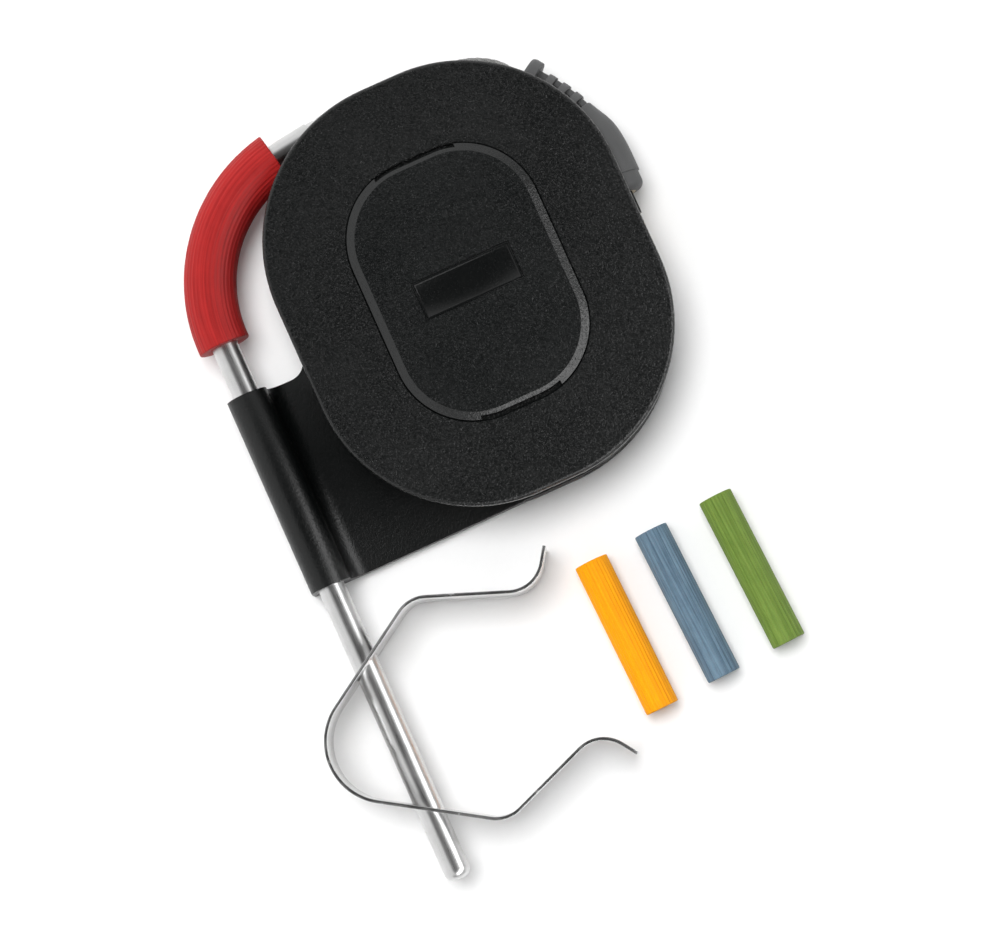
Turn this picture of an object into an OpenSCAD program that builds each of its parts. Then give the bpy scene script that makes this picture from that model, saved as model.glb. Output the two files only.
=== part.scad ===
// Wired meat thermometer probe on its cable wrap.
// Lengths are in millimetres. The origin is the centre of the wrap on its flat rear face.
// +Z points out of the front face, and the probe lies along Y with its tip at -Y.

/* [Cable wrap] */
// Half width of the straight stretch between the round corners of the flanges
core_x = 2.9; // [2:0.1:4]
// Half height of the straight stretch between the round corners of the flanges
core_y = 8.25; // [7:0.25:9]
// Corner radius of the front flange
front_rho = 24.4; // [24:0.1:25]
// Corner radius of the rear flange
rear_rho = 24.2; // [23.8:0.1:24.4]
// Corner radius of the drum that the cable is wound on
drum_rho = 11.9; // [11.5:0.1:12.2]
// Thickness of each flange
flange_t = 2; // [1.6:0.1:2.2]
// Space between the flanges, where the cable lies
cable_gap = 8.5; // [8.3:0.1:9]
// How far the hub cap stands out of the front flange
cap_rise = 0.8; // [0.4:0.1:1.2]
// Length of the badge on the hub cap
badge_w = 15.7; // [12:0.1:18]
// Height of the badge on the hub cap
badge_h = 6; // [4:0.1:8]

/* [Probe sleeve] */
// Distance of the probe from the middle of the wrap
probe_x = 36.9; // [36.6:0.1:37.5]
// Upper end of the sleeve
sleeve_top_y = -1.2; // [-3:0.1:0]
// Lower end of the sleeve and of the wing that carries it
sleeve_end_y = -32.3; // [-33:0.1:-31]
// Outer radius of the sleeve
sleeve_r = 3.15; // [3:0.05:3.3]

/* [Probe] */
// Outer diameter of the probe tube
tube_d = 4; // [3.8:0.1:4.2]
// Wall of the probe tube
tube_wall = 0.4; // [0.3:0.05:0.5]
// Position of the probe's tip
tip_y = -79.4; // [-85:0.1:-77]
// Start of the bend
bend_y = 7.6; // [6.5:0.1:8]
// Radius of the bend, on the middle of the tube
bend_r = 22.6; // [22.2:0.1:23]
// Angle of the bend
bend_angle = 82; // [80:1:83]
// Straight end of the tube beyond the bend
tail_len = 5.2; // [4:0.1:6]

/* [Grate clip] */
// Width of the spring strip
strip_w = 11.5; // [9:0.5:12]
// Thickness of the spring strip
strip_t = 0.5; // [0.4:0.05:0.6]
// Middle of the clip along the probe
clip_y = -56.7; // [-58:0.1:-55]
// Radius of the bend at the back of the clip
spine_r = 8.9; // [8:0.1:9.5]

/* [Marking bands] */
// Outer diameter of the band on the probe
band_d = 7.9; // [7:0.1:8]
// Angle of the bend that the band covers
band_angle = 79; // [70:1:81]
// Outer diameter of a loose band
spare_d = 5.2; // [4.8:0.1:5.6]
// Bore of a loose band
spare_bore = 3; // [2.6:0.1:3.4]
// Length of a loose band
spare_len = 24.2; // [20:0.1:28]

/* [Plug and cable] */
// Diameter of the braided cable
cable_d = 2.4; // [2.2:0.1:2.5]
// Diameter of the jack
jack_d = 2.5; // [2.4:0.1:2.5]
// Radius of the plug's overmoulded body
plug_r = 4; // [3.6:0.1:4.1]

/* [Hidden] */

$fn = 96;
slack = 0.05;      // clearance round a part that sits in or slides through another
over = 1;          // how far a cutting shape runs past the surface it cuts
lap = 0.02;        // how far one stretch of a bent part runs into the next
inset = 0.01;      // how much thinner a bend is than the straight stretches that run into it

front_z = flange_t + cable_gap;      // rear side of the front flange
face_z = front_z + flange_t;         // front face of the flange
mid_z = flange_t + cable_gap / 2;    // middle of the gap, and of the probe and plug

// hub cap and its seat
seat_z = face_z - 0.8;               // shoulder that the cap's brim sits on
cap_rho = drum_rho - slack;
cap_h = face_z + cap_rise - seat_z;
bevel_w = 1.2;                       // sloping edge of the cap
bevel_h = 0.6;
seat_edge = 0.2;                     // chamfer round the cap's seat
spigot_rho = drum_rho - 0.6;
drum_wall = 1.5;
hook_half = 4.4;
hook_t = 1.2;
hook_y = core_y + drum_rho - drum_wall - 0.25;   // outer face of each snap hook
hook_z = 6.5;
barb = 0.8;
barb_h = 1.4;
slit_w = 0.6;
slit_half = 6.4;
badge_sink = 0.5;

// sleeve section: the fillet touches the sleeve and the wing's surface
foot_x = probe_x - 5.8;
foot_dx = probe_x - foot_x;
foot_dz = mid_z - flange_t;
fillet_r = (foot_dx * foot_dx + foot_dz * foot_dz - sleeve_r * sleeve_r) / (2 * (sleeve_r + foot_dz));
wing_fillet = 3;

// probe tube
tube_r = tube_d / 2;
bore_r = tube_r - tube_wall;
tip_len = 8;
tip_round = 1.4;
tip_wall = 0.8;
bend_c = [bend_r - probe_x, bend_y, mid_z];      // centre of the bend
tail_turn = 180 - bend_angle;                    // where on the bend's circle the tail begins
tail_start = bend_c + bend_r * [cos(tail_turn), sin(tail_turn), 0];
tail_dir = [sin(tail_turn), -cos(tail_turn), 0];
bead_r = 0.8;
bead_y = tip_y + 3;
fill_len = 11;
lead_r = 0.25;
lead_off = 0.6;
seal_len = 2.4;
spigot_len = 2.5;
ferrule_r = 1.8;
ferrule_len = 6;
ferrule_end = tail_start + (tail_len + ferrule_len) * tail_dir;

// plug and its dock: the plug follows the flange's corner, and its relief runs straight on from there
plug_rho = 23.4;
plug_x = core_x + plug_rho;
plug_y = 3;
swell_start = 9.5;                   // angles about the flange's corner
swell_steps = 3;
relief_start = 21.5;
relief_turn = 37;
relief_r = 3.2;
relief_core = 2.4;
relief_run = 1.5;                    // straight end of the relief
collar_len = 1.8;
collar_r = 4.2;
rib_turn = 2.8;
slots = 3;
slot_turn = (relief_turn - relief_start - slots * rib_turn) / slots;
swell_turn = (relief_start - swell_start) / swell_steps;
relief_dir = [-sin(relief_turn), cos(relief_turn), 0];
relief_at = [core_x + plug_rho * cos(relief_turn), core_y + plug_rho * sin(relief_turn), mid_z];
barrel_len = 8;
ring_len = 0.6;
jack_tip_len = 2.4;
jack_core = 0.45;
jack_bore = 0.9;
shoulder_r = 2.2;
shoulder_len = 4;
end_ring_len = 2.7;
dock_len = 3.5;
dock_h = 6.5;
dock_w = 3.4;
dock_brow = 0.8;

// cable: its coil, and the two stretches that leave it
cable_sides = 8;
coil_rho = drum_rho + 3 * cable_d + 0.1;
coil_top = mid_z + 1.5 * cable_d + 0.4;
joint_gap = 0.1;
ferrule_gap = 0.8;                   // room for the ferrule when the probe slides out
probe_route = [
    [-2.6, 31.7, 6.1], [1.2, 31.4, 5.7], [5.2, 30.3, 5.1], [9, 28.4, 4.5], [12.2, 25.8, 3.9], [14.8, 22.6, 3.5],
];
plug_route = [
    [-19.2, 17.6, 8.9], [-15.6, 23.2, 8.9], [-10.4, 27.2, 8.9], [-5, 29.2, 8.9], [-1.5, 29.9, 8.8],
    [2, 30.5, 8.5], [6.2, 31, 8.2], [10.5, 30.8, 7.7], [14.1, 30, 7.2], [17.2, 28.2, 6.7],
];
collar_face = relief_at + (relief_run + collar_len) * relief_dir;

// clip outline: corners of one arm, measured from the clip's middle line
arm_slope = 0.63;
hole_rise = 11.45;
spine_x = -probe_x - hole_rise / arm_slope;      // where the two arms' lines would meet
shoulder_pt = [-26.9, 17.8];
pinch_pt = [-9.4, 11.1];
lip_pt = [-5.7, 16.6];
shoulder_bend = 5;
pinch_bend = 5;
arc_steps = 12;
hole_r = tube_r + 2 * slack;

band_lead = 0.7;                     // straight start of the band on the probe

// loose bands: upper end, and lean of each from the Y axis
spare_z = spare_d / 2;
spares = [[-0.3, -44.5, 1.9], [9.7, -43.9, 2.6], [20.5, -43.2, 2.7]];

// ---- shared shapes ----

// outline of a flange, drum or cap
module pill(rho) {
    for (sx = [-1, 1], sy = [-1, 1])
        translate([sx * core_x, sy * core_y]) circle(r = rho);
    square([2 * (core_x + rho), 2 * core_y], center = true);
    square([2 * core_x, 2 * (core_y + rho)], center = true);
}

// the two ends of the outline, between the ends of the slits
module pill_ends(rho) {
    for (side = [0, 1]) mirror([0, side]) intersection() {
        pill(rho);
        translate([-slit_half, core_y]) square([2 * slit_half, rho + over]);
    }
}

module pill_wall(rho_out, rho_in, z0, z1) {
    translate([0, 0, z0]) linear_extrude(z1 - z0) difference() {
        pill(rho_out);
        pill(rho_in);
    }
}

// half section of a plate whose edge is rounded above and below
module rim_section(rho, h, r_top, r_low) {
    mid = h / 2;
    translate([0, mid]) square([rho - r_top, h - mid]);
    square([rho - r_low, mid]);
    translate([0, r_low]) square([rho, h - r_top - r_low]);
    translate([rho - r_top, h - r_top]) circle(r = r_top, $fn = 48);
    translate([rho - r_low, r_low]) circle(r = r_low, $fn = 48);
}

module edge_bar(len) {
    rotate([90, 0, 0]) linear_extrude(len, center = true) for (side = [0, 1]) mirror([side, 0]) children();
}

// plate with the wrap's outline, whose edge follows the half section that it is given
module edged_pill(z0, h) {
    translate([0, 0, z0]) {
        for (sx = [-1, 1], sy = [-1, 1])
            translate([sx * core_x, sy * core_y, 0]) rotate_extrude() children();
        for (sx = [-1, 1])
            translate([sx * core_x, 0, 0]) edge_bar(2 * core_y) children();
        for (sy = [-1, 1])
            translate([0, sy * core_y, 0]) rotate([0, 0, 90]) edge_bar(2 * core_x) children();
        linear_extrude(h) square([2 * core_x, 2 * core_y], center = true);
    }
}

module rounded_pill(rho, z0, h, r_top, r_low) {
    edged_pill(z0, h) rim_section(rho, h, r_top, r_low);
}

// cylinder along +Y, with its axis in the middle plane
module rod_y(x, y0, len, r) {
    translate([x, y0, mid_z]) rotate([-90, 0, 0]) cylinder(h = len, r = r);
}

// part of a ring bent round the flange's corner, between two angles
module corner_ring(r, from, to, rho = plug_rho) {
    translate([core_x, core_y, mid_z]) rotate([0, 0, from])
        rotate_extrude(angle = to - from) translate([rho, 0]) circle(r = r, $fn = 64);
}

// ring round the probe's bend, from its start
module bend_ring(r, dz = 0, angle = bend_angle) {
    translate([bend_c[0], bend_c[1], bend_c[2] + dz]) rotate([0, 0, 180 - angle])
        rotate_extrude(angle = angle) translate([bend_r, 0]) circle(r = r, $fn = 64);
}

// cylinder along the straight end of the strain relief, away from the plug
module relief_rod(start, len, r) {
    translate(relief_at + start * relief_dir) rotate([0, 90, 90 + relief_turn]) cylinder(h = len, r = r);
}

// cylinder along the probe's tail, starting a distance beyond the bend
module tail_rod(start, len, r, dz = 0) {
    translate(tail_start + start * tail_dir + [0, 0, dz])
        rotate([0, 90, 90 - bend_angle]) cylinder(h = len, r = r);
}

function unit(v) = v / norm(v);
function tangent(path, i) = unit(path[min(i + 1, len(path) - 1)] - path[max(i - 1, 0)]);
function ring_points(path, i) =
    let (t = tangent(path, i), side = unit(cross(t, [0, 0, 1])), up = cross(side, t), step = 360 / cable_sides)
    [for (k = [0 : cable_sides - 1]) path[i] + cable_d / 2 * (cos(step * k) * side + sin(step * k) * up)];

// tube through the points of a route
module cable_tube(path) {
    n = cable_sides;
    last = len(path) - 1;
    points = [for (i = [0 : last]) each ring_points(path, i)];
    walls = [for (i = [0 : last - 1], k = [0 : n - 1])
        let (a = i * n + k, b = i * n + (k + 1) % n)
        each [[a, b, b + n], [a, b + n, a + n]]];
    near_end = [for (k = [n - 1 : -1 : 0]) k];
    far_end = [for (k = [0 : n - 1]) last * n + k];
    polyhedron(points, concat(walls, [near_end, far_end]));
}

// ---- cable wrap ----

module sleeve_section() {
    translate([-probe_x, mid_z]) circle(r = sleeve_r);
    translate([-probe_x - sleeve_r, 0]) square([sleeve_r, mid_z]);
    difference() {
        polygon([[-probe_x, 0], [-foot_x, 0], [-foot_x, flange_t],
            [-probe_x + sleeve_r * foot_dx / (sleeve_r + fillet_r),
             mid_z - sleeve_r * (foot_dz - fillet_r) / (sleeve_r + fillet_r)], [-probe_x, mid_z]]);
        translate([-foot_x, flange_t + fillet_r]) circle(r = fillet_r);
    }
}

module wing_outline() {
    edge_x = core_x + rear_rho;
    translate([-probe_x, sleeve_end_y]) square([probe_x - 5.5, sleeve_top_y - sleeve_end_y]);
    difference() {
        translate([-edge_x - wing_fillet, sleeve_top_y]) square([wing_fillet + over, wing_fillet]);
        translate([-edge_x - wing_fillet, sleeve_top_y + wing_fillet]) circle(r = wing_fillet);
    }
}

// block whose channel is open towards the edge, so that the jack snaps in from the side under its brow
module plug_dock() {
    edge_x = core_x + rear_rho - 0.1;
    translate([edge_x - dock_w, plug_y - joint_gap - dock_len, flange_t / 2]) {
        cube([dock_w, dock_len, dock_h + flange_t / 2]);
        translate([0, 0, dock_h + flange_t / 2 - dock_brow]) cube([dock_w + dock_brow, dock_len, dock_brow]);
    }
}

module rear_shell() {
    color("#232626") difference() {
        union() {
            rounded_pill(rear_rho, 0, flange_t, 0.3, 0.6);
            linear_extrude(flange_t) wing_outline();
            translate([0, sleeve_top_y, 0]) rotate([90, 0, 0])
                linear_extrude(sleeve_top_y - sleeve_end_y) sleeve_section();
            plug_dock();
        }
        rod_y(-probe_x, sleeve_end_y - over, sleeve_top_y - sleeve_end_y + 2 * over, tube_r + slack);
        rod_y(plug_x, plug_y - dock_len - over, dock_len + 2 * over, jack_d / 2 + 2 * slack);
    }
}

module winding_drum() {
    inner = drum_rho - drum_wall;
    color("#262929") difference() {
        union() {
            pill_wall(drum_rho, inner, flange_t, front_z);
            pill_wall(spigot_rho, inner, front_z, seat_z);
        }
        for (side = [0, 1]) mirror([0, side, 0])
            translate([-hook_half - 0.4, hook_y, hook_z - 0.2])
                cube([2 * (hook_half + 0.4), 2 * drum_wall, barb_h + 0.6]);
    }
}

module front_flange() {
    color("#232626") difference() {
        rounded_pill(front_rho, front_z, flange_t, 0.6, 0.3);
        translate([0, 0, front_z - over]) linear_extrude(flange_t + 2 * over) pill(spigot_rho + slack);
        translate([0, 0, seat_z]) linear_extrude(flange_t) pill(drum_rho);
        translate([0, 0, front_z - over]) linear_extrude(flange_t) pill_ends(drum_rho);
        edged_pill(face_z - seat_edge, over)
            polygon([[0, 0], [drum_rho, 0], [drum_rho + over, over], [0, over]]);
    }
}

module snap_hook() {
    translate([-hook_half, hook_y - hook_t, hook_z]) cube([2 * hook_half, hook_t, seat_z - hook_z + 0.2]);
    translate([hook_half, hook_y, hook_z]) rotate([90, 0, -90]) linear_extrude(2 * hook_half)
        polygon([[0, 0], [0, barb_h], [-barb, barb_h]]);
}

module hub_cap() {
    color("#202323") difference() {
        union() {
            edged_pill(seat_z, cap_h)
                polygon([[0, 0], [cap_rho, 0], [cap_rho, cap_h - bevel_h], [cap_rho - bevel_w, cap_h], [0, cap_h]]);
            for (side = [0, 1]) mirror([0, side, 0]) snap_hook();
        }
        translate([0, 0, seat_z - over]) linear_extrude(flange_t + 2 * over) difference() {
            pill_ends(cap_rho + over);
            pill(cap_rho - slit_w);
        }
        translate([-badge_w / 2, -badge_h / 2, face_z + cap_rise - badge_sink]) cube([badge_w, badge_h, over]);
    }
}

module badge_plate() {
    floor_z = face_z + cap_rise - badge_sink;
    color("#141616") translate([-badge_w / 2 + slack, -badge_h / 2 + slack, floor_z]) {
        cube([badge_w - 2 * slack, badge_h - 2 * slack, 0.25]);
        difference() {
            cube([badge_w - 2 * slack, badge_h - 2 * slack, 0.4]);
            translate([0.4, 0.4, 0]) cube([badge_w - 2 * slack - 0.8, badge_h - 2 * slack - 0.8, 1]);
        }
    }
}

// ---- cable and plug ----

module cable_coil() {
    color("#b9b9b6") pill_wall(coil_rho, drum_rho, flange_t, coil_top);
}

module cable_lead_probe() {
    color("#b9b9b6") cable_tube(concat([ferrule_end + ferrule_gap * tail_dir], probe_route));
}

module cable_lead_plug() {
    color("#b9b9b6") cable_tube(concat(plug_route, [collar_face]));
}

module strain_relief() {
    color("#565656") {
        corner_ring(relief_core, relief_start, relief_turn);
        relief_rod(-lap, relief_run + 2 * lap, relief_core + inset);
        relief_rod(relief_run, collar_len, collar_r);
        for (i = [1 : slots])
            corner_ring(relief_r, relief_start + i * (slot_turn + rib_turn) - rib_turn,
                relief_start + i * (slot_turn + rib_turn));
    }
}

module plug_body() {
    color("#555555") difference() {
        union() {
            rod_y(plug_x, plug_y, end_ring_len, plug_r - 0.2);
            rod_y(plug_x, plug_y + end_ring_len, core_y - plug_y - end_ring_len + lap, plug_r);
            corner_ring(plug_r - inset, 0, swell_start);
            for (i = [0 : swell_steps - 1])
                corner_ring(plug_r - (i + 0.5) * (plug_r - relief_r) / swell_steps,
                    swell_start + i * swell_turn, swell_start + (i + 1) * swell_turn);
        }
        rod_y(plug_x, plug_y - over, shoulder_len + over, shoulder_r + slack);
    }
}

module jack_sleeve() {
    color("#c9b27a") difference() {
        union() {
            rod_y(plug_x, plug_y, shoulder_len, shoulder_r);
            rod_y(plug_x, plug_y - barrel_len, barrel_len + 1, jack_d / 2);
        }
        rod_y(plug_x, plug_y - barrel_len - over, barrel_len + shoulder_len + 2 * over, jack_bore);
    }
}

module jack_insulator() {
    color("#1c1c1c") difference() {
        union() {
            rod_y(plug_x, plug_y - barrel_len, barrel_len + shoulder_len, jack_bore - slack);
            rod_y(plug_x, plug_y - barrel_len - ring_len, ring_len, jack_d / 2);
        }
        rod_y(plug_x, plug_y - barrel_len - ring_len - over, barrel_len + ring_len + shoulder_len + 2 * over,
            jack_core + slack);
    }
}

module jack_tip() {
    neck_y = plug_y - barrel_len - ring_len;
    color("#c9b27a") {
        rod_y(plug_x, neck_y, barrel_len + ring_len + shoulder_len, jack_core);
        translate([plug_x, neck_y, mid_z]) rotate([90, 0, 0]) rotate_extrude()
            polygon([[0, 0], [1.25, 0], [0.85, 0.8], [1.2, 1.4], [0.4, jack_tip_len], [0, jack_tip_len]]);
    }
}

// ---- probe ----

module probe_tube() {
    split_y = tip_y + tip_len;
    color("#c4c6c8") difference() {
        union() {
            rod_y(-probe_x, split_y, bend_y - split_y + lap, tube_r);
            bend_ring(tube_r - inset);
            tail_rod(-lap, tail_len + lap, tube_r);
        }
        rod_y(-probe_x, split_y - over, bend_y - split_y + over + lap, bore_r);
        bend_ring(bore_r - inset);
        tail_rod(-lap, tail_len + over + lap, bore_r);
    }
}

module tip_cap() {
    color("#c4c6c8") difference() {
        translate([-probe_x, tip_y, mid_z]) rotate([-90, 0, 0]) rotate_extrude() {
            translate([0, tip_round]) square([tube_r, tip_len - tip_round]);
            square([tube_r - tip_round, tip_round]);
            intersection() {
                translate([tube_r - tip_round, tip_round]) circle(r = tip_round);
                square([tube_r, tip_round]);
            }
        }
        rod_y(-probe_x, tip_y + tip_wall, tip_len, bore_r);
    }
}

// the straight stretches of the two wires, in the probe and in its tail
module probe_wires(r) {
    for (dz = [-lead_off, lead_off])
        translate([0, 0, dz]) rod_y(-probe_x, bead_y + bead_r, bend_y - bead_y - bead_r + lap, r);
}

module tail_wires(r) {
    for (dz = [-lead_off, lead_off])
        tail_rod(-lap, tail_len + ferrule_len + lap, r, dz);
}

module sensor_leads() {
    color("#d8c9a0") {
        probe_wires(lead_r);
        for (dz = [-lead_off, lead_off])
            bend_ring(lead_r - inset, dz);
        tail_wires(lead_r);
    }
}

module thermistor_bead() {
    color("#7a4a2a") translate([-probe_x, bead_y, mid_z]) sphere(r = bead_r);
}

module thermal_filling() {
    color("#d9d6cc") difference() {
        rod_y(-probe_x, tip_y + tip_wall, fill_len, bore_r - slack);
        translate([-probe_x, bead_y, mid_z]) sphere(r = bead_r + slack);
        probe_wires(lead_r + slack);
    }
}

module tail_seal() {
    color("#3a3a3a") difference() {
        tail_rod(tail_len - spigot_len - seal_len, seal_len, bore_r - slack);
        tail_wires(lead_r + slack);
    }
}

module crimp_ferrule() {
    color("#b4b6b8") difference() {
        union() {
            tail_rod(tail_len - spigot_len, spigot_len + 0.5, bore_r - slack);
            tail_rod(tail_len, ferrule_len, ferrule_r);
        }
        for (at = [1.6, 3.6])
            translate(tail_start + (tail_len + at) * tail_dir) rotate([0, 90, 90 - bend_angle])
                rotate_extrude() translate([ferrule_r + 0.45, 0]) circle(r = 0.6, $fn = 32);
        tail_rod(tail_len - spigot_len - over, spigot_len + ferrule_len + 2 * over, lead_off + lead_r + slack);
    }
}

module band_red() {
    color("#b22d2d") difference() {
        union() {
            rod_y(-probe_x, bend_y - band_lead, band_lead + lap, band_d / 2);
            bend_ring(band_d / 2 - inset, angle = band_angle);
        }
        rod_y(-probe_x, bend_y - band_lead - over, band_lead + over + lap, tube_r + slack);
        bend_ring(tube_r + slack - inset);
    }
}

// ---- grate clip ----

function turned(v, a) = [v[0] * cos(a) - v[1] * sin(a), v[0] * sin(a) + v[1] * cos(a)];

// round corner between two straight stretches that meet at p
function corner_arc(a, p, b, r) =
    let (
        u = unit(a - p), w = unit(b - p),
        half = acos(u * w) / 2,
        c = p + unit(u + w) * r / sin(half),
        start = p + u * r / tan(half) - c,
        way = sign(u[0] * w[1] - u[1] * w[0])
    )
    [for (i = [0 : arc_steps]) c + turned(start, way * (half * 2 - 180) * i / arc_steps)];

// one arm from the back of the clip to its lip, on the middle of the strip
arm_start = atan(arm_slope) + 90;
spine_c = [spine_x + spine_r / sin(atan(arm_slope)), 0];
arm_path = concat(
    [for (i = [0 : arc_steps]) spine_c + turned([-spine_r, 0], (arm_start - 180) * i / arc_steps)],
    corner_arc(spine_c + turned([-spine_r, 0], arm_start - 180), shoulder_pt, pinch_pt, shoulder_bend),
    corner_arc(shoulder_pt, pinch_pt, lip_pt, pinch_bend),
    [lip_pt]
);
arm_last = len(arm_path) - 1;
strip_path = concat([for (i = [arm_last : -1 : 1]) [arm_path[i][0], -arm_path[i][1]]], arm_path);

module strip_outline() {
    last = len(strip_path) - 1;
    sides = [for (i = [0 : last]) turned(tangent(strip_path, i), 90) * strip_t / 2];
    polygon(concat(
        [for (i = [0 : last]) strip_path[i] + sides[i]],
        [for (i = [last : -1 : 0]) strip_path[i] - sides[i]]
    ));
}

module grate_clip() {
    color("#c6c8ca") difference() {
        translate([0, clip_y, mid_z - strip_w / 2]) linear_extrude(strip_w) strip_outline();
        rod_y(-probe_x, clip_y - 2 * hole_rise, 4 * hole_rise, hole_r);
    }
}

// ---- loose bands ----

module spare_band(place) {
    translate([place[0], place[1], spare_z]) rotate([90, 0, place[2]]) difference() {
        cylinder(h = spare_len, r = spare_d / 2);
        translate([0, 0, -over]) cylinder(h = spare_len + 2 * over, r = spare_bore / 2);
    }
}

module band_yellow() {
    color("#f9a800") spare_band(spares[0]);
}

module band_blue() {
    color("#647d92") spare_band(spares[1]);
}

module band_green() {
    color("#6d8c3b") spare_band(spares[2]);
}

rear_shell();
winding_drum();
front_flange();
hub_cap();
badge_plate();
cable_coil();
cable_lead_probe();
cable_lead_plug();
strain_relief();
plug_body();
jack_sleeve();
jack_insulator();
jack_tip();
probe_tube();
tip_cap();
thermistor_bead();
thermal_filling();
sensor_leads();
tail_seal();
crimp_ferrule();
band_red();
grate_clip();
band_yellow();
band_blue();
band_green();
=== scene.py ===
"""Looks of the wired meat thermometer probe on its cable wrap.

Lengths are in millimetres, and times MM where Blender takes metres.
"""

import math

import bmesh
import bpy
import numpy as np
from mathutils import Matrix, Vector


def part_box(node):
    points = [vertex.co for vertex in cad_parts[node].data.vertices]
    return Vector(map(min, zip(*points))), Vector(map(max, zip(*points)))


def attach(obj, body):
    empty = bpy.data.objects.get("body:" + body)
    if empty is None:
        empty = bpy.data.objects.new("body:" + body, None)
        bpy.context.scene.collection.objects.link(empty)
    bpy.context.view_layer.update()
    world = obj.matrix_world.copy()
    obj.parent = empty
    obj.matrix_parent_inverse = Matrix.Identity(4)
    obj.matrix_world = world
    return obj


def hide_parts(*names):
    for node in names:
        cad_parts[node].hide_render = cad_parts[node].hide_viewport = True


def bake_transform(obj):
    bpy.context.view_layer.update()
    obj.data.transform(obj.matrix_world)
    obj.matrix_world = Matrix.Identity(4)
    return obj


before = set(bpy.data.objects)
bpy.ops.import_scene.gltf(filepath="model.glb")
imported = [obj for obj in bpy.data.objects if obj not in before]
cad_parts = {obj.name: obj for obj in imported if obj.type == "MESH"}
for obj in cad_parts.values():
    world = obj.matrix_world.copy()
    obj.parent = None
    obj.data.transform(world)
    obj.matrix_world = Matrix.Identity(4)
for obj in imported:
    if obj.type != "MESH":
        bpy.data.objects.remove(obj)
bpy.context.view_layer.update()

MM = 0.001
ALONG_Y = Vector((0, 1, 0))
UP = Vector((0, 0, 1))


def middle(node):
    """Centre of a CAD node's box, in millimetres."""
    low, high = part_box(node)
    return (Vector(low) + Vector(high)) / 2 / MM


def low_of(node):
    return Vector(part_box(node)[0]) / MM


def high_of(node):
    return Vector(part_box(node)[1]) / MM


# ---- places, from the frame ----

mid_z = middle("probe_tube").z
probe_x = -middle("tip_cap").x
tube_r = (high_of("tip_cap").x - low_of("tip_cap").x) / 2

# ---- places, from the part's design ----

core_x = 2.9    # half of the outline's straight top and bottom
core_y = 8.25   # half of the outline's straight sides
bend_r = 22.6   # radius of the probe's bend, and where it begins
bend_y = 7.6
bend_centre = Vector((bend_r - probe_x, bend_y, mid_z))

# ---- camera ----


def add_camera():
    place = Vector((-8.4, -73.3, 520)) * MM
    aim = Vector((-7.34, -27.49, 6.25)) * MM
    ahead = (aim - place).normalized()
    right = ahead.cross(Vector((0.4086, 0.9127, 0))).normalized()
    above = right.cross(ahead)
    camera = bpy.data.objects.new("camera", bpy.data.cameras.new("camera"))
    bpy.context.collection.objects.link(camera)
    turn = Matrix((right, above, -ahead)).transposed()
    camera.matrix_world = Matrix.Translation(place) @ turn.to_4x4()
    camera.data.lens = 125.3
    camera.data.sensor_width = 36
    bpy.context.scene.camera = camera


add_camera()

# ---- materials ----


class Nodes:
    """Shader nodes of a material or a world."""

    def __init__(self, owner):
        owner.use_nodes = True
        self.tree = owner.node_tree

    def node(self, kind, inputs=(), **settings):
        made = self.tree.nodes.new("ShaderNode" + kind)
        for name, value in settings.items():
            setattr(made, name, value)
        for key, value in dict(inputs).items():
            if isinstance(value, bpy.types.NodeSocket):
                self.tree.links.new(value, made.inputs[key])
            else:
                made.inputs[key].default_value = value
        return made

    def math(self, operation, first, second=0.0):
        return self.node("Math", {0: first, 1: second}, operation=operation).outputs[0]

    def spread(self, value, low, high, to_low, to_high, easing="LINEAR"):
        inputs = {"Value": value, "From Min": low, "From Max": high, "To Min": to_low, "To Max": to_high}
        return self.node("MapRange", inputs, interpolation_type=easing).outputs[0]


class Shader(Nodes):
    """One material, whose finish is the Principled BSDF."""

    def __init__(self, name, **finish):
        self.material = bpy.data.materials.new(name)
        super().__init__(self.material)
        self.bsdf = self.tree.nodes["Principled BSDF"]
        for socket, value in finish.items():
            self.bsdf.inputs[socket.replace("_", " ")].default_value = value

    def place(self):
        """Coordinates of the piece, in millimetres."""
        at = self.node("TexCoord").outputs["Object"]
        return self.node("VectorMath", {0: at, "Scale": 1 / MM}, operation="SCALE").outputs[0]

    def around(self):
        """Coordinates of a turned piece, in millimetres: round it, and along it."""
        at = self.node("TexCoord").outputs["UV"]
        return self.node("VectorMath", {0: at, "Scale": 1 / MM}, operation="SCALE").outputs[0]

    def stretched(self, vector, scale):
        return self.node("VectorMath", {0: vector, 1: scale}, operation="MULTIPLY").outputs[0]

    def noise(self, vector, size, detail=3.0, roughness=0.5):
        inputs = {"Vector": vector, "Scale": 1 / size, "Detail": detail, "Roughness": roughness}
        return self.node("TexNoise", inputs).outputs["Fac"]

    def cells(self, vector, size, feature="F1"):
        inputs = {"Vector": vector, "Scale": 1 / size}
        return self.node("TexVoronoi", inputs, feature=feature).outputs["Distance"]

    def mixed(self, factor, first, second):
        inputs = {"Factor": factor, 6: (*first, 1), 7: (*second, 1)}
        return self.node("Mix", inputs, data_type="RGBA").outputs[2]

    def set(self, socket, value):
        self.tree.links.new(value, self.bsdf.inputs[socket])

    def bump(self, height, depth, before=None):
        """Raises the surface by up to depth millimetres."""
        inputs = {"Height": height, "Distance": depth * MM, "Strength": 1.0}
        if before is not None:
            inputs["Normal"] = before
        made = self.node("Bump", inputs).outputs["Normal"]
        self.set("Normal", made)
        return made


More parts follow.
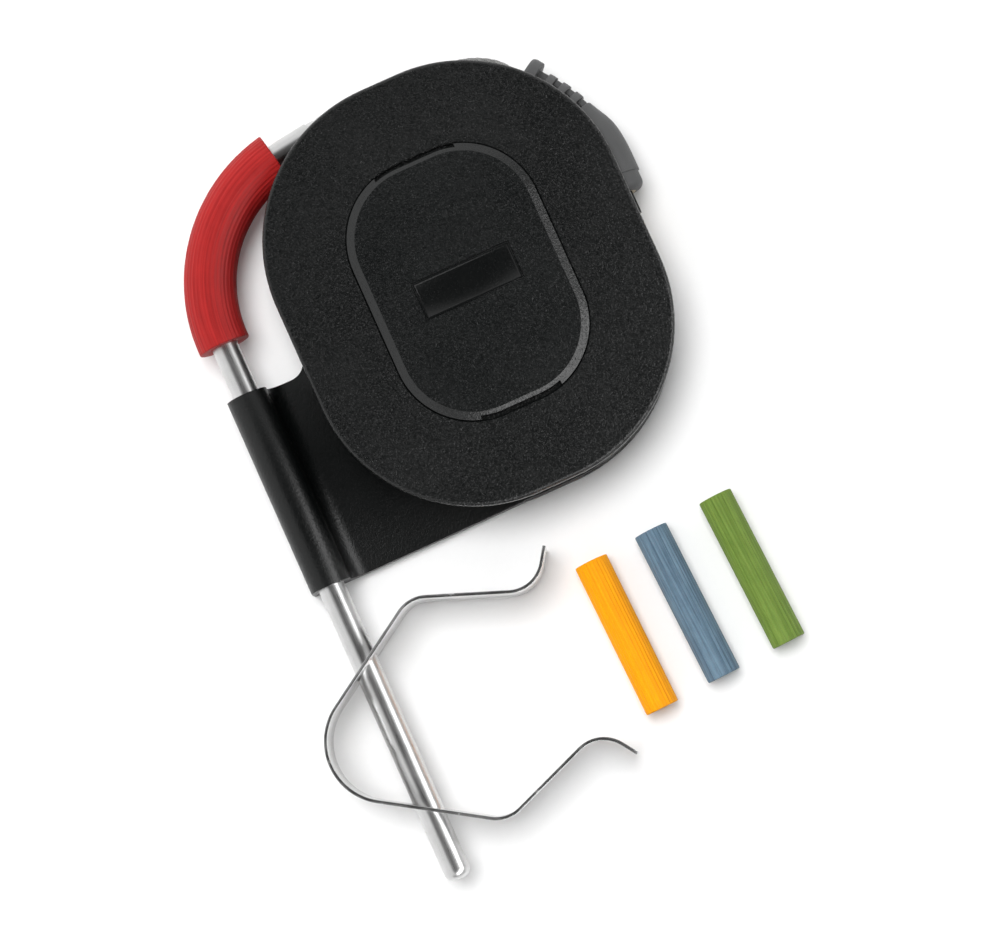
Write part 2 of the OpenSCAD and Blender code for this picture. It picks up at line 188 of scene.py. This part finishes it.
def moulded_plastic(name, dark, light, roughness, grain, depth, gloss):
    """Black plastic with the fine leathery grain of its mould, and here and there a brighter speck."""
    s = Shader(name, IOR=1.5, Specular_IOR_Level=gloss)
    at = s.place()
    bent = s.node("VectorMath", {0: at, 1: s.node("TexNoise", {"Vector": at, "Scale": 2.2}).outputs["Color"]},
                  operation="ADD").outputs[0]
    pebbles = s.cells(bent, grain, "SMOOTH_F1")
    fine = s.noise(at, grain / 2, 2.0, 0.6)
    broad = s.noise(at, 14, 2.0)
    specks = s.spread(s.noise(at, 0.16, 1.0, 0.5), 0.68, 0.76, 0.0, 0.8)
    shade = s.spread(s.math("ADD", pebbles, s.math("MULTIPLY", specks, -1.0)), 0.1, 0.7, 0, 1)
    s.set("Base Color", s.mixed(shade, light, dark))
    mottled = s.math("ADD", s.spread(fine, 0.3, 0.7, -0.06, 0.06), s.spread(broad, 0.3, 0.7, -0.03, 0.03))
    s.set("Roughness", s.math("ADD", mottled, roughness))
    s.bump(fine, depth * 0.6, s.bump(s.spread(pebbles, 0, 0.8, 1, 0), depth))
    return s.material


def ribbed_silicone(name, colour, deep):
    """Soft silicone: matt, with a dusty bloom, fine specks and the drag lines of its extrusion."""
    s = Shader(name, IOR=1.42, Specular_IOR_Level=0.28, Subsurface_Weight=0.08, Subsurface_Scale=0.0008)
    at = s.around()
    drag = s.noise(s.stretched(at, (1.0, 0.02, 1.0)), 0.3, 2.0)
    bloom = s.noise(s.place(), 2.5, 4.0, 0.6)
    specks = s.noise(s.place(), 0.18, 2.0, 0.7)
    both = s.math("ADD", s.spread(drag, 0.35, 0.65, 0, 0.75), s.spread(bloom, 0.3, 0.7, 0, 0.25))
    s.set("Base Color", s.mixed(both, deep, colour))
    s.set("Roughness", s.spread(bloom, 0.3, 0.7, 0.48, 0.62))
    s.bump(drag, 0.04, s.bump(specks, 0.02))
    return s.material


def drawn_steel(name, roughness, bend=False):
    """Stainless steel with fine lines along its length: along Y and round the probe's bend, or across Z."""
    s = Shader(name, Metallic=1.0)
    at = s.place()
    if bend:
        moved = s.node("VectorMath", {0: at, 1: bend_centre}, operation="SUBTRACT").outputs[0]
        x, y, z = s.node("SeparateXYZ", {0: moved}).outputs
        beyond = s.math("MAXIMUM", y, 0.0)
        out = s.math("SQRT", s.math("ADD", s.math("MULTIPLY", x, x), s.math("MULTIPLY", beyond, beyond)))
        at = s.node("CombineXYZ", {0: out, 1: s.math("MULTIPLY", y, 0.02), 2: z}).outputs[0]
    else:
        at = s.stretched(at, (0.03, 0.03, 1.0))
    lines = s.noise(at, 0.09, 3.0, 0.7)
    stains = s.noise(s.place(), 5, 4.0, 0.6)
    s.set("Base Color", s.mixed(s.spread(stains, 0.35, 0.7, 0, 1), (0.66, 0.66, 0.66), (0.59, 0.59, 0.585)))
    s.set("Roughness", s.math("ADD", s.spread(lines, 0.3, 0.7, -0.05, 0.09), roughness))
    s.bump(lines, 0.004)
    return s.material


def plated_metal(name, colour):
    s = Shader(name, Metallic=1.0)
    worn = s.noise(s.place(), 0.6, 4.0, 0.6)
    s.set("Base Color", s.mixed(worn, colour, tuple(c * 0.75 for c in colour)))
    s.set("Roughness", s.spread(worn, 0.3, 0.7, 0.18, 0.34))
    return s.material


def braided_wire(name):
    """Woven steel wire: the strands of each diamond run slantwise, this way and that. The grooves between the
    strands are painted nearly black, as painted shade.
    """
    s = Shader(name, Metallic=0.85)
    at = s.around()
    x, y, _ = s.node("SeparateXYZ", {0: at}).outputs
    strands = [s.math("SINE", s.math("MULTIPLY", s.math("ADD", x, s.math("MULTIPLY", y, way)), 26.0))
               for way in (0.8, -0.8)]
    fine = s.math("MAXIMUM", *strands)
    dust = s.noise(s.place(), 1.8, 4.0, 0.6)
    # Painted shade: the colour goes nearly black where the bump is lowest, in the grooves between the strands.
    s.set("Base Color", s.mixed(s.spread(fine, 0.1, 0.9, 0, 1), (0.05, 0.05, 0.05), (0.50, 0.50, 0.49)))
    s.set("Roughness", s.spread(dust, 0.3, 0.7, 0.28, 0.45))
    s.bump(fine, 0.08)
    return s.material


def plain_matter(name, dark, light, roughness, size, metallic=0.0):
    """Resin, ceramic, enamel and the like: mottled, with a faint skin."""
    s = Shader(name, Metallic=metallic)
    mottle = s.noise(s.place(), size, 4.0, 0.6)
    s.set("Base Color", s.mixed(mottle, dark, light))
    s.set("Roughness", s.spread(mottle, 0.3, 0.7, roughness - 0.08, roughness + 0.08))
    s.bump(mottle, size * 0.03)
    return s.material


def rubber(name, dark, light):
    s = Shader(name, IOR=1.5)
    fine = s.noise(s.place(), 0.16, 3.0, 0.65)
    broad = s.noise(s.place(), 3, 3.0)
    s.set("Base Color", s.mixed(broad, dark, light))
    s.set("Roughness", s.spread(fine, 0.3, 0.7, 0.5, 0.66))
    s.bump(fine, 0.03)
    return s.material


NEAR_BLACK = (0.0005, 0.001, 0.001)
shell_black = moulded_plastic("shell_black", NEAR_BLACK, (0.005, 0.0055, 0.0055), 0.29, 0.34, 0.054, 0.5)
wing_black = moulded_plastic("wing_black", NEAR_BLACK, (0.001, 0.0015, 0.0015), 0.36, 0.34, 0.026, 0.42)
cap_black = moulded_plastic("cap_black", NEAR_BLACK, (0.004, 0.005, 0.005), 0.28, 0.3, 0.041, 0.58)
badge_black = moulded_plastic(
    "badge_black", (0.002, 0.0025, 0.0025), (0.003, 0.0035, 0.0035), 0.22, 0.5, 0.004, 0.45)
probe_steel = drawn_steel("probe_steel", 0.3, bend=True)
clip_steel = drawn_steel("clip_steel", 0.2)
ferrule_steel = drawn_steel("ferrule_steel", 0.26)
plug_grey = rubber("plug_grey", (0.060, 0.061, 0.062), (0.075, 0.076, 0.077))
# Painted shade: the relief's core is coloured near black so that the slots between the ribs look dark, where
# there is only shade.
core_painted_shade = rubber("core_painted_shade", (0.006, 0.006, 0.006), (0.010, 0.010, 0.010))
wire_braid = braided_wire("wire_braid")
silicones = {
    "red": ribbed_silicone("silicone_red", (0.42, 0.020, 0.019), (0.27, 0.010, 0.010)),
    "yellow": ribbed_silicone("silicone_yellow", (0.95, 0.39, 0.0), (0.82, 0.30, 0.0)),
    "blue": ribbed_silicone("silicone_blue", (0.170, 0.262, 0.340), (0.065, 0.110, 0.160)),
    "green": ribbed_silicone("silicone_green", (0.190, 0.285, 0.056), (0.105, 0.175, 0.026)),
}

NODE_LOOKS = {
    "rear_shell": wing_black, "winding_drum": shell_black, "front_flange": shell_black,
    "hub_cap": cap_black, "badge_plate": badge_black,
    "jack_sleeve": plated_metal("jack_gold", (0.72, 0.56, 0.30)),
    "jack_insulator": plain_matter("insulator_black", (0.01, 0.01, 0.01), (0.03, 0.03, 0.03), 0.35, 0.4),
    "jack_tip": plated_metal("jack_tip_gold", (0.72, 0.56, 0.30)),
    "probe_tube": probe_steel, "tip_cap": probe_steel, "grate_clip": clip_steel,
    "crimp_ferrule": ferrule_steel,
    "thermistor_bead": plain_matter("bead_glass", (0.18, 0.07, 0.03), (0.28, 0.12, 0.06), 0.2, 0.3),
    "thermal_filling": plain_matter("filling_resin", (0.62, 0.60, 0.54), (0.74, 0.72, 0.66), 0.6, 0.3),
    "sensor_leads": plain_matter("lead_enamel", (0.50, 0.34, 0.14), (0.62, 0.45, 0.20), 0.3, 0.5, 0.6),
    "tail_seal": plain_matter("seal_resin", (0.03, 0.03, 0.03), (0.06, 0.06, 0.06), 0.45, 0.4),
}

for node_name, look in NODE_LOOKS.items():
    node_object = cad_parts[node_name]
    node_object.data.materials.clear()
    node_object.data.materials.append(look)

# ---- shapes ----


def add_piece(name, mesh, material, body, replaced, sharp=40):
    mesh.materials.clear()
    mesh.materials.append(material)
    mesh.shade_smooth()
    mesh.set_sharp_from_angle(angle=math.radians(sharp))
    piece = bpy.data.objects.new(name, mesh)
    bpy.context.collection.objects.link(piece)
    if body:
        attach(piece, body)
    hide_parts(*replaced)
    return piece


def ring_mesh(name, rings, lengths, girth, closed):
    """Mesh through rings of points in metres, which is closed on itself, or else gets a cap at both ends."""
    count = len(rings[0])
    mesh = bpy.data.meshes.new(name)
    made = bmesh.new()
    uv = made.loops.layers.uv.new("UVMap")
    vertices = [[made.verts.new(p) for p in ring] for ring in rings]
    pairs = [(i, i + 1) for i in range(len(rings) - 1)]
    if closed:
        pairs.append((len(rings) - 1, 0))
    for i, j in pairs:
        for k in range(count):
            m = (k + 1) % count
            face = made.faces.new((vertices[i][k], vertices[i][m], vertices[j][m], vertices[j][k]))
            turns = (k / count, (k + 1) / count, (k + 1) / count, k / count)
            for loop, turn, ring in zip(face.loops, turns, (i, i, j, j)):
                loop[uv].uv = (turn * girth * MM, lengths[ring] * MM)
    if not closed:
        made.faces.new(vertices[0])
        made.faces.new(vertices[-1])
    bmesh.ops.recalc_face_normals(made, faces=made.faces)
    made.to_mesh(mesh)
    made.free()
    return mesh


def straight(start, direction, side=None):
    """Route: straight on from start in the plane of the wrap, as a function of the distance along it."""
    start, direction = Vector(start), Vector(direction).normalized()
    side = Vector(side) if side else direction.cross(UP)
    return lambda s: (start + s * direction, side, UP)


def bent(centre, radius, from_angle, way):
    """Route round a centre, in the wrap's plane. From the front, way is 1 anticlockwise and -1 clockwise."""

    def at(s):
        a = math.radians(from_angle) + way * s / radius
        out = Vector((math.cos(a), math.sin(a), 0))
        return centre + radius * out, out, UP

    return at


def joined(first, length, second):
    return lambda s: first(s) if s < length else second(s - length)


def eased(profile, radius, closed, steps=3):
    """Rounds the corners of a profile of (distance, radius) points."""
    points = [Vector(p) for p in profile]
    out = []
    for i, p in enumerate(points):
        if not closed and i in (0, len(points) - 1):
            out.append(p)
            continue
        a, b = points[i - 1], points[(i + 1) % len(points)]
        cut = min(radius, (a - p).length * 0.45, (b - p).length * 0.45)
        p0, p1 = p + (a - p).normalized() * cut, p + (b - p).normalized() * cut
        for k in range(steps + 1):
            t = k / steps
            out.append((1 - t) ** 2 * p0 + 2 * t * (1 - t) * p + t * t * p1)
    return out


def divided(points, longest, closed):
    """Adds points so that no step along the route is longer than longest."""
    out = []
    last = len(points) if closed else len(points) - 1
    for i in range(last):
        a, b = points[i], points[(i + 1) % len(points)]
        parts = max(1, math.ceil(abs(b.x - a.x) / longest))
        out += [a.lerp(b, k / parts) for k in range(parts)]
    return out if closed else out + [points[-1]]


def swept(name, route, profile, around, closed, shape=None):
    """Mesh whose radius follows profile along route. shape(turn, radius) may change the radius round it."""
    rings = []
    for s, radius in profile:
        centre, side, up = route(s)
        ring = []
        for k in range(around):
            turn = k / around
            r = shape(turn, radius) if shape else radius
            a = math.tau * turn
            ring.append((centre + r * (math.cos(a) * side + math.sin(a) * up)) * MM)
        rings.append(ring)
    girth = math.tau * max(p[1] for p in profile)
    return ring_mesh(name, rings, [p[0] for p in profile], girth, closed)


# ---- cord ----

CORD_D = 2.4
CORD_STEP = 0.6
EXIT = (-6.354, 31.539, 6.25)
PROBE_ROUTE = [
    (-2.6, 31.7, 6.1), (1.2, 31.4, 5.7), (5.2, 30.3, 5.1),
    (9, 28.4, 4.5), (12.2, 25.8, 3.9), (14.8, 22.6, 3.5),
]
PLUG_ROUTE = [
    (-19.2, 17.6, 8.9), (-15.6, 23.2, 8.9), (-10.4, 27.2, 8.9), (-5, 29.2, 8.9),
    (-1.5, 29.9, 8.8), (2, 30.5, 8.5), (6.2, 31, 8.2), (10.5, 30.8, 7.7),
    (14.1, 30, 7.2), (17.2, 28.2, 6.7), (19.602, 24.968, 6.25),
]
# Corner radius and height of each level of the winding, from the drum outwards.
LEVELS = [(13.15, 3.25), (13.15, 6.07), (13.15, 8.9), (15.6, 8.9), (15.6, 6.07), (18.0, 6.07), (18.0, 8.9)]
FIRST_RHO, FIRST_Z = 18.64, 3.5
FIRST_TURN, LAST_TURN = 0.075, 6.8447


def pill_point(turns, rho):
    """Point on the wrap's outline at a corner radius, clockwise from the top of its right upper corner."""
    quarter = math.pi / 2 * 15
    stretches = [
        (quarter, (1, 1), 90), (2 * core_y, (1, 0), 0), (quarter, (1, -1), 0), (2 * core_x, (0, -1), -90),
        (quarter, (-1, -1), -90), (2 * core_y, (-1, 0), 180), (quarter, (-1, 1), 180), (2 * core_x, (0, 1), 90),
    ]
    left = turns % 1 * sum(length for length, _, _ in stretches)
    for length, (sx, sy), start in stretches:
        if left <= length:
            break
        left -= length
    share = left / length
    if sx and sy:
        a = math.radians(start - 90 * share)
        return Vector((sx * core_x + rho * math.cos(a), sy * core_y + rho * math.sin(a), 0))
    if sx:
        return Vector((sx * (core_x + rho), sx * core_y * (1 - 2 * share), 0))
    return Vector((sy * core_x * (2 * share - 1), sy * (core_y + rho), 0))


def level_at(turns):
    """Corner radius and height of the winding: in along the rear flange, then level by level."""
    spiral_end, cross, apart = 0.68, 0.05, 0.94
    if turns < spiral_end:
        share = (turns - FIRST_TURN) / (spiral_end - FIRST_TURN)
        rho = FIRST_RHO + (LEVELS[0][0] - FIRST_RHO) * share
        return rho, FIRST_Z + (LEVELS[0][1] - FIRST_Z) * min(1, share * 4)
    passed = (turns - spiral_end - 0.97) / apart
    i = max(0, min(len(LEVELS) - 2, math.floor(passed)))
    share = min(1, max(0, (passed - i) * apart / cross))
    share = share * share * (3 - 2 * share)
    (r0, z0), (r1, z1) = LEVELS[i], LEVELS[i + 1]
    return r0 + (r1 - r0) * share, z0 + (z1 - z0) * share


def smooth_line(points, step):
    """Points a step apart on a smooth line through the given ones."""
    p = np.array(points)
    p = np.vstack([2 * p[0] - p[1], p, 2 * p[-1] - p[-2]])
    fine = []
    for i in range(1, len(p) - 2):
        for t in np.arange(0, 1, 0.05):
            a, b, c, d = p[i - 1 : i + 3]
            fine.append(0.5 * (2 * b + (c - a) * t + (2 * a - 5 * b + 4 * c - d) * t**2
                               + (3 * b - a - 3 * c + d) * t**3))
    fine.append(p[-2])
    fine = np.array(fine)
    far = np.concatenate([[0], np.cumsum(np.linalg.norm(np.diff(fine, axis=0), axis=1))])
    at = np.linspace(0, far[-1], round(far[-1] / step) + 1)
    return [Vector([np.interp(s, far, fine[:, k]) for k in range(3)]) for s in at], far[-1]


def cord_line():
    """Points along the whole cord, from the ferrule to the plug, and its length."""
    points = [EXIT, *PROBE_ROUTE]
    per_turn = 40
    for k in range(2, round((LAST_TURN - FIRST_TURN) * per_turn) - 1):
        turns = FIRST_TURN + k / per_turn
        rho, z = level_at(turns)
        points.append(pill_point(turns, rho) + Vector((0, 0, z)))
    return smooth_line([tuple(p) for p in [*points, *PLUG_ROUTE]], CORD_STEP)


def add_cord():
    """Round braid: every other point is raised, so the faces between them make a woven diamond."""
    sides, weave = 16, 0.06
    line, length = cord_line()
    normal = UP
    rings = []
    for i, p in enumerate(line):
        ahead = (line[min(i + 1, len(line) - 1)] - line[max(i - 1, 0)]).normalized()
        normal = (normal - normal.dot(ahead) * ahead).normalized()
        side = ahead.cross(normal)
        ring = []
        for k in range(sides):
            a = math.tau * k / sides
            r = CORD_D / 2 + (weave if (i + k) % 2 else -weave)
            ring.append((p + r * (math.cos(a) * normal + math.sin(a) * side)) * MM)
        rings.append(ring)
    lengths = [CORD_STEP * i for i in range(len(line))]
    mesh = ring_mesh("braided_cable", rings, lengths, math.pi * CORD_D, closed=False)
    cable = add_piece("braided_cable", mesh, wire_braid, None,
                      ["cable_coil", "cable_lead_probe", "cable_lead_plug"], sharp=180)
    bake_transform(cable)
    return cable, [p * MM for p in line], length * MM


cable, cable_line, cable_length = add_cord()

# ---- plug ----

PLUG_RHO = 23.4
PLUG_R = 4.0
PLUG_BORE = 1.3
RELIEF_TURN = 37
RELIEF_RUN = 3.3
RIB_TURN = 2.8
BODY_TURN = 21.5
RING_LEN = 2.7
RELIEF_R = 3.2
RELIEF_FLOOR = 2.0
plug_corner = Vector((core_x, core_y, mid_z))
plug_out = Vector((math.cos(math.radians(RELIEF_TURN)), math.sin(math.radians(RELIEF_TURN)), 0))
plug_back = Vector((plug_out.y, -plug_out.x, 0))
plug_arc = PLUG_RHO * math.radians(RELIEF_TURN)
plug_end = RELIEF_RUN + plug_arc + core_y - 3
plug_route = joined(
    straight(plug_corner + PLUG_RHO * plug_out - RELIEF_RUN * plug_back, plug_back, plug_out), RELIEF_RUN,
    joined(
        bent(plug_corner, PLUG_RHO, RELIEF_TURN, -1), plug_arc,
        straight(plug_corner + Vector((PLUG_RHO, 0, 0)), -ALONG_Y, (1, 0, 0)),
    ),
)


def arc_at(angle):
    """Distance along the plug's route, from the collar's face, of an angle about the flange's corner."""
    return RELIEF_RUN + PLUG_RHO * math.radians(RELIEF_TURN - angle)


def relief_profile():
    """Collar, then ribs with slots between them, from the collar's face to the plug's grip."""
    points = [(0, PLUG_BORE), (0, 3.95), (0.5, 4.15), (1.8, 4.1), (1.8, RELIEF_FLOOR)]
    for high in (RELIEF_TURN, 31.83, 26.67):
        ends = arc_at(high), arc_at(high - RIB_TURN)
        points += [(ends[0], RELIEF_FLOOR), (ends[0], RELIEF_R), (ends[1], RELIEF_R), (ends[1], RELIEF_FLOOR)]
    return points + [(arc_at(BODY_TURN), RELIEF_FLOOR)]


def windowed(turn, radius):
    """The slots are deep above and below only, and shallow at the sides."""
    if radius >= RELIEF_R:
        return radius
    open_share = min(1, max(0, (abs(math.sin(math.tau * turn)) - 0.4) / 0.2))
    deep = (RELIEF_R - radius) / (RELIEF_R - RELIEF_FLOOR)
    return RELIEF_R - deep * (0.3 + (RELIEF_R - RELIEF_FLOOR - 0.3) * open_share)


def grip_profile():
    """Grip of the plug: it swells from the relief to the body, with a step down to its end ring."""
    at_angles = [(BODY_TURN, RELIEF_R), (19, 3.3), (16.5, 3.5), (14, 3.75), (11.5, 3.93), (9, PLUG_R)]
    swell = [(arc_at(angle), radius) for angle, radius in at_angles]
    return [
        (arc_at(BODY_TURN), PLUG_BORE), *swell,
        (plug_end - RING_LEN, PLUG_R), (plug_end - RING_LEN, PLUG_R - 0.25), (plug_end - 0.9, PLUG_R - 0.25),
        (plug_end - 0.3, PLUG_R - 0.6), (plug_end, PLUG_R - 1.2), (plug_end, PLUG_BORE),
    ]


relief = eased(relief_profile(), 0.16, closed=False)
grip = eased(grip_profile(), 0.3, closed=False)
core = [Vector(p) for p in ((1.7, 2.2), (arc_at(BODY_TURN) + 0.2, 2.2))]


def add_plug_piece(name, profile, around, look, replaced, shape=None):
    rings = divided(profile, 0.5, closed=False)
    mesh = swept(name, plug_route, rings, around, False, shape)
    return add_piece(name, mesh, look, "wrap", [replaced])


relief_ribs = add_plug_piece("relief_ribs", relief, 64, plug_grey, "strain_relief", windowed)
# The core's near-black colour is painted shade in the slots between the ribs.
relief_core = add_plug_piece("relief_core", core, 32, core_painted_shade, "strain_relief")
plug_grip = add_plug_piece("plug_grip", grip, 48, plug_grey, "plug_body")

# ---- silicone bands ----


def ribbed(count, depth, outer):
    """Narrow grooves along a band, on its outside only."""

    def shape(turn, radius):
        if radius < outer * 0.8:
            return radius
        groove = abs(math.cos(math.pi * count * turn)) ** 6
        return radius - depth * groove

    return shape


def band_mesh(name, route, start, length, outer, bore, ribs, depth):
    profile = [(start, bore), (start, outer), (start + length, outer), (start + length, bore)]
    rings = divided(eased(profile, 0.22, closed=True), 0.8, True)
    return swept(name, route, rings, ribs * 4, True, ribbed(ribs, depth, outer))


def add_probe_band():
    """Band on the probe: a short straight start, then round the bend."""
    outer, lead, ribs, groove = 3.95, 0.7, 36, 0.07
    arc = bend_r * math.radians(79)
    upward = straight((-probe_x, bend_y - lead, mid_z), ALONG_Y, (-1, 0, 0))
    route = joined(upward, lead, bent(bend_centre, bend_r, 180, -1))
    mesh = band_mesh("ribbed_band_red", route, 0, lead + arc, outer, tube_r + 0.05, ribs, groove)
    add_piece("ribbed_band_red", mesh, silicones["red"], "probe", ["band_red"], sharp=60)


def add_spare_band(colour, lean):
    """Loose band, whose length leans by some degrees from the probe's."""
    node = "band_" + colour
    outer, length, bore, ribs, groove = 2.6, 24.2, 1.5, 26, 0.14
    way = Vector((math.sin(math.radians(lean)), -math.cos(math.radians(lean)), 0))
    start = middle(node) - way * length / 2
    mesh = band_mesh("ribbed_" + node, straight(start, way), 0, length, outer, bore, ribs, groove)
    add_piece("ribbed_" + node, mesh, silicones[colour], node, [node], sharp=60)


add_probe_band()
for band_colour, band_lean in (("yellow", 1.9), ("blue", 2.6), ("green", 2.7)):
    add_spare_band(band_colour, band_lean)

# ---- softened copies of the hard parts ----


def softened(node, name, width, body, segments=2, angle=38):
    """Copy of a CAD node whose sharp edges are rounded."""
    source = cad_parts[node]
    made = bmesh.new()
    made.from_mesh(source.data)
    bmesh.ops.remove_doubles(made, verts=made.verts, dist=1e-6)
    bmesh.ops.dissolve_limit(made, angle_limit=math.radians(0.5), verts=made.verts, edges=made.edges)
    edges = [e for e in made.edges if len(e.link_faces) == 2 and e.calc_face_angle() > math.radians(angle)]
    bmesh.ops.bevel(made, geom=edges, offset=width * MM, segments=segments, profile=0.5, affect="EDGES",
                    clamp_overlap=True, loop_slide=True)
    mesh = bpy.data.meshes.new(name)
    made.to_mesh(mesh)
    made.free()
    return add_piece(name, mesh, NODE_LOOKS[node], body, [node], sharp=35)


softened("rear_shell", "wrap_shell", 0.3, "wrap")
softened("grate_clip", "spring_clip", 0.05, "clip")
softened("badge_plate", "badge_frame", 0.07, "wrap")

# ---- floor, light and finish ----


def add_floor():
    made = bmesh.new()
    bmesh.ops.create_grid(made, x_segments=8, y_segments=8, size=3)
    mesh = bpy.data.meshes.new("floor")
    made.to_mesh(mesh)
    made.free()
    floor = bpy.data.objects.new("floor", mesh)
    floor.location = (0, 0, -0.00005)
    bpy.context.collection.objects.link(floor)
    s = Shader("floor_paper", Roughness=0.9)
    grain = s.noise(s.place(), 0.8, 3.0)
    s.set("Base Color", s.mixed(grain, (0.90, 0.90, 0.90), (0.92, 0.92, 0.92)))
    mesh.materials.append(s.material)


def add_light(name, kind, toward, distance, energy, seen_by, **settings):
    """Light that shines from a direction on the middle of the object, on matt surfaces or on glossy ones."""
    data = bpy.data.lights.new(name, kind)
    data.energy = energy
    for setting, value in settings.items():
        setattr(data, setting, value)
    light = bpy.data.objects.new(name, data)
    way = Vector(toward).normalized()
    light.location = Vector((-5, -20, 0)) * MM + way * distance
    light.rotation_mode = "QUATERNION"
    light.rotation_quaternion = way.to_track_quat("Z", "Y")
    light.visible_camera = False
    light.visible_diffuse = seen_by == "matt"
    light.visible_glossy = seen_by == "glossy"
    bpy.context.collection.objects.link(light)


def add_world():
    """Soft studio: a bright wall on the probe's side, a dim one across from it, and a dark ceiling."""
    world = bpy.data.worlds.new("studio")
    n = Nodes(world)
    way = n.node("TexCoord").outputs["Generated"]
    height = n.node("SeparateXYZ", {0: way}).outputs[2]
    across = n.node("VectorMath", {0: way, 1: (0.654, -0.756, 0)}, operation="DOT_PRODUCT").outputs["Value"]
    wall = n.spread(across, -0.05, 0.3, 1.0, 0.25, "SMOOTHSTEP")
    low = n.spread(height, 0.03, 0.12, 0.8, 0.0, "SMOOTHSTEP")
    ceiling = n.spread(height, 0.80, 0.92, 0.0, 1.0, "SMOOTHSTEP")
    sides = n.math("MAXIMUM", wall, low)
    shade = n.spread(ceiling, 0.0, 1.0, sides, 0.06)
    background = n.tree.nodes["Background"]
    n.tree.links.new(shade, background.inputs["Color"])
    bpy.context.scene.world = world


add_floor()
add_light("overhead", "SUN", (-0.356, 0.934, 4.5), 1.0, 2.6, "matt", angle=0.6)
add_light("strip", "AREA", (0.48, -0.56, 0.78), 0.6, 4.5, "glossy", shape="RECTANGLE", size=1.1, size_y=0.3)
add_world()
bpy.context.scene.view_settings.view_transform = "Standard"
